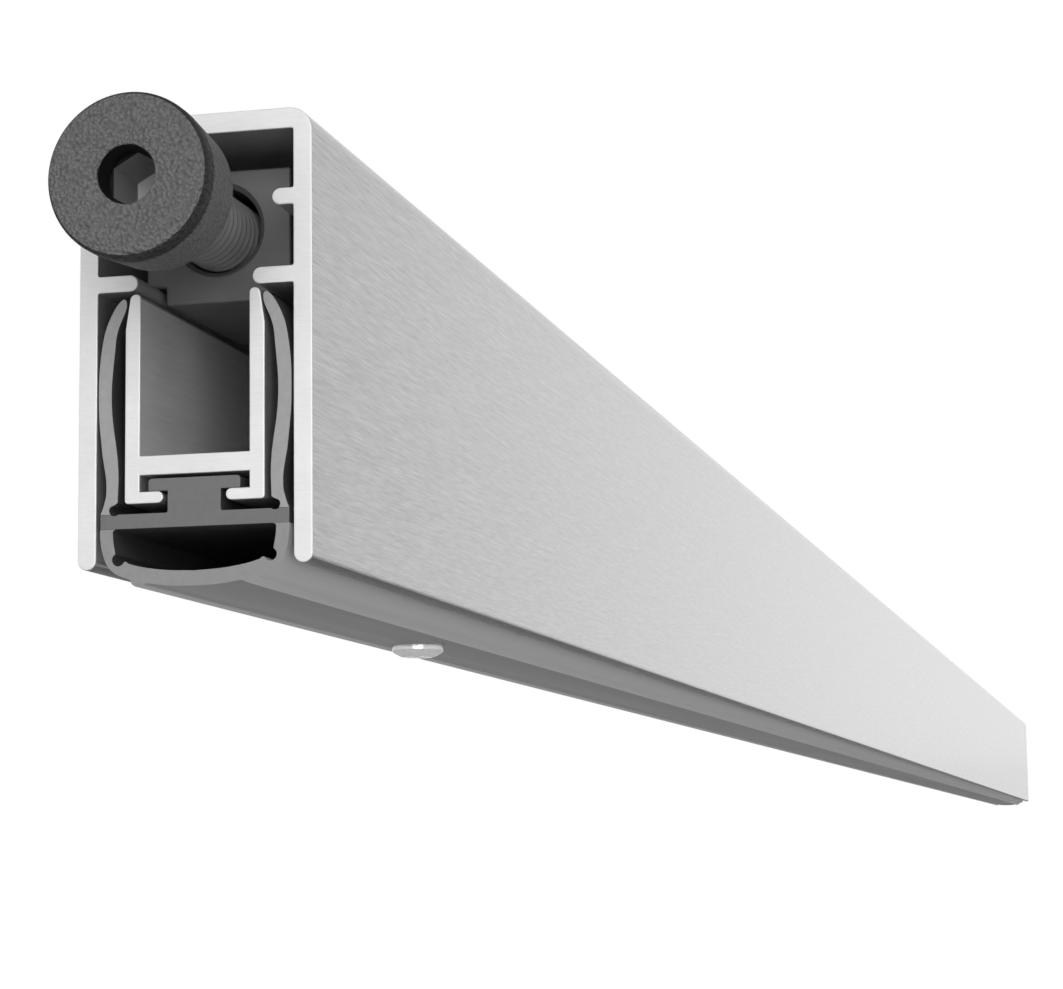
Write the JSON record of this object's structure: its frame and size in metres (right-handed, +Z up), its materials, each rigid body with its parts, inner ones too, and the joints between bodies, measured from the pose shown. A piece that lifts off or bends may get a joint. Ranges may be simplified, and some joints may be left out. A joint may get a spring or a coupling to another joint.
{
  "type": "automatic door bottom seal",
  "caption": "Drop-down door bottom seal: an aluminium housing with a sprung carrier and soft bulb seal that drops when the end plunger is pressed.",
  "frame": {"origin": "centre of the housing's flat top face", "axes": "+X along the seal away from the plunger, +Z up out of the housing's top face, into the door"},
  "size_m": [0.8415, 0.015, 0.03],
  "materials": {
    "anodised_aluminium": "natural anodised extrusion with fine lines along its length",
    "silicone": "matt grey silicone, darker plate and lighter lips and bulb",
    "black_plastic": "black moulded plastic with a fine leather grain",
    "grey_plastic": "dark grey moulded plastic, smooth matt",
    "dark_steel": "dull grey plated threaded rod",
    "strip_steel": "bright rolled strip",
    "spring_steel": "polished spring strip",
    "zinc_plated_steel": "bright zinc plate",
    "rivet_aluminium": "flush set rivet"
  },
  "bodies": {
    "housing": {"housing": "anodised_aluminium", "guide_block": "grey_plastic", "roof_rivet_guide": "rivet_aluminium", "anchor_front": "grey_plastic", "roof_rivet_front": "rivet_aluminium", "leaf_rivet_anchor_front": "zinc_plated_steel", "leaf_spring_front": "spring_steel", "anchor_rear": "grey_plastic", "roof_rivet_rear": "rivet_aluminium", "leaf_rivet_anchor_rear": "zinc_plated_steel", "leaf_spring_rear": "spring_steel"},
    "push_bar": {"push_bar": "strip_steel", "thread_block": "grey_plastic", "bar_pin_block": "strip_steel", "slider_front": "grey_plastic", "bar_pin_front": "strip_steel", "leaf_rivet_slider_front": "zinc_plated_steel", "slider_rear": "grey_plastic", "bar_pin_rear": "strip_steel", "leaf_rivet_slider_rear": "zinc_plated_steel"},
    "plunger": {"plunger_knob": "black_plastic", "plunger_screw": "dark_steel"},
    "carrier": {"carrier": "anodised_aluminium", "seal": "silicone", "seal_lock_screw": "zinc_plated_steel", "saddle_front": "grey_plastic", "saddle_rivet_front": "zinc_plated_steel", "saddle_rear": "grey_plastic", "saddle_rivet_rear": "zinc_plated_steel"}
  },
  "joints": [
    {"name": "plunger_press", "type": "slide", "parent": "housing", "child": "push_bar", "axis": [1, 0, 0], "range_m": [0, 0.005], "stiffness_N_per_m": 1500, "springref_m": -0.005},
    {"name": "plunger_turn", "type": "hinge", "parent": "push_bar", "child": "plunger", "pos_m": [-0.415, 0, -0.00655], "axis": [1, 0, 0], "continuous": true},
    {"name": "seal_drop", "type": "slide", "parent": "housing", "child": "carrier", "axis": [0, 0, -1], "range_m": [0, 0.013], "deforming": ["leaf_spring_front", "leaf_spring_rear"]}
  ],
  "couplings": [
    {"joint": "seal_drop", "follows": "plunger_press", "ratio": 2.6}
  ]
}
